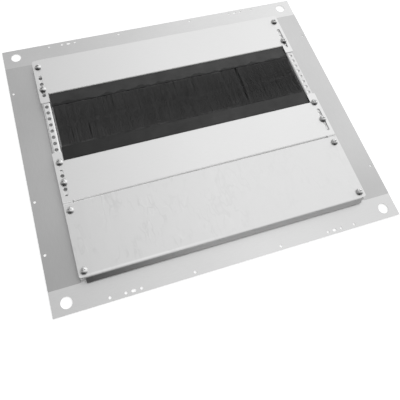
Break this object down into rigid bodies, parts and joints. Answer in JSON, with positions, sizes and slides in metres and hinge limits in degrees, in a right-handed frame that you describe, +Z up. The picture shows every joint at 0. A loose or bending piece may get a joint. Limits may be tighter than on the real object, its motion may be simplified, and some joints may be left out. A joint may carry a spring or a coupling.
{
  "type": "brush cable grommet plate",
  "caption": "Rectangular sheet-metal cable-entry plate with a perforated frame, screwed-on cover panels and a black brush-lined opening for cables",
  "frame": {"origin": "Centre of the underside: the middle of the rectangle that the outer flanges cover, on the surface that they lie on", "axes": "+X along the 600 mm length to the right, +Y to the rear, where the brush opening is nearer, +Z up out of the raised side"},
  "size_m": [0.6, 0.5, 0.0196],
  "materials": {
    "galvanised_strip": "satin",
    "galvanised_rail": "satin",
    "panel_sheet": "satin",
    "spangled_sheet": "satin",
    "holder_plastic": "matt",
    "strip_steel": "satin",
    "bristle_nylon": "matt",
    "rivet_aluminium": "satin",
    "screw_zinc": "bright",
    "nut_zinc": "satin"
  },
  "bodies": {
    "root": {"front_profile": "galvanised_strip", "rear_profile": "galvanised_strip", "left_profile": "galvanised_rail", "right_profile": "galvanised_rail", "rear_panel": "panel_sheet", "middle_panel": "panel_sheet", "front_panel": "spangled_sheet", "rear_brush_holder": "holder_plastic", "front_brush_holder": "holder_plastic", "rear_brush_channel": "strip_steel", "front_brush_channel": "strip_steel", "rear_core_wire": "strip_steel", "front_core_wire": "strip_steel", "rear_bristles": "bristle_nylon", "front_bristles": "bristle_nylon", "rear_brush_rivets": "rivet_aluminium", "front_brush_rivets": "rivet_aluminium", "rear_panel_screws": "screw_zinc", "middle_panel_screws": "screw_zinc", "front_panel_screws": "screw_zinc", "rear_panel_nuts": "nut_zinc", "middle_panel_nuts": "nut_zinc", "front_panel_nuts": "nut_zinc"}
  },
  "joints": []
}
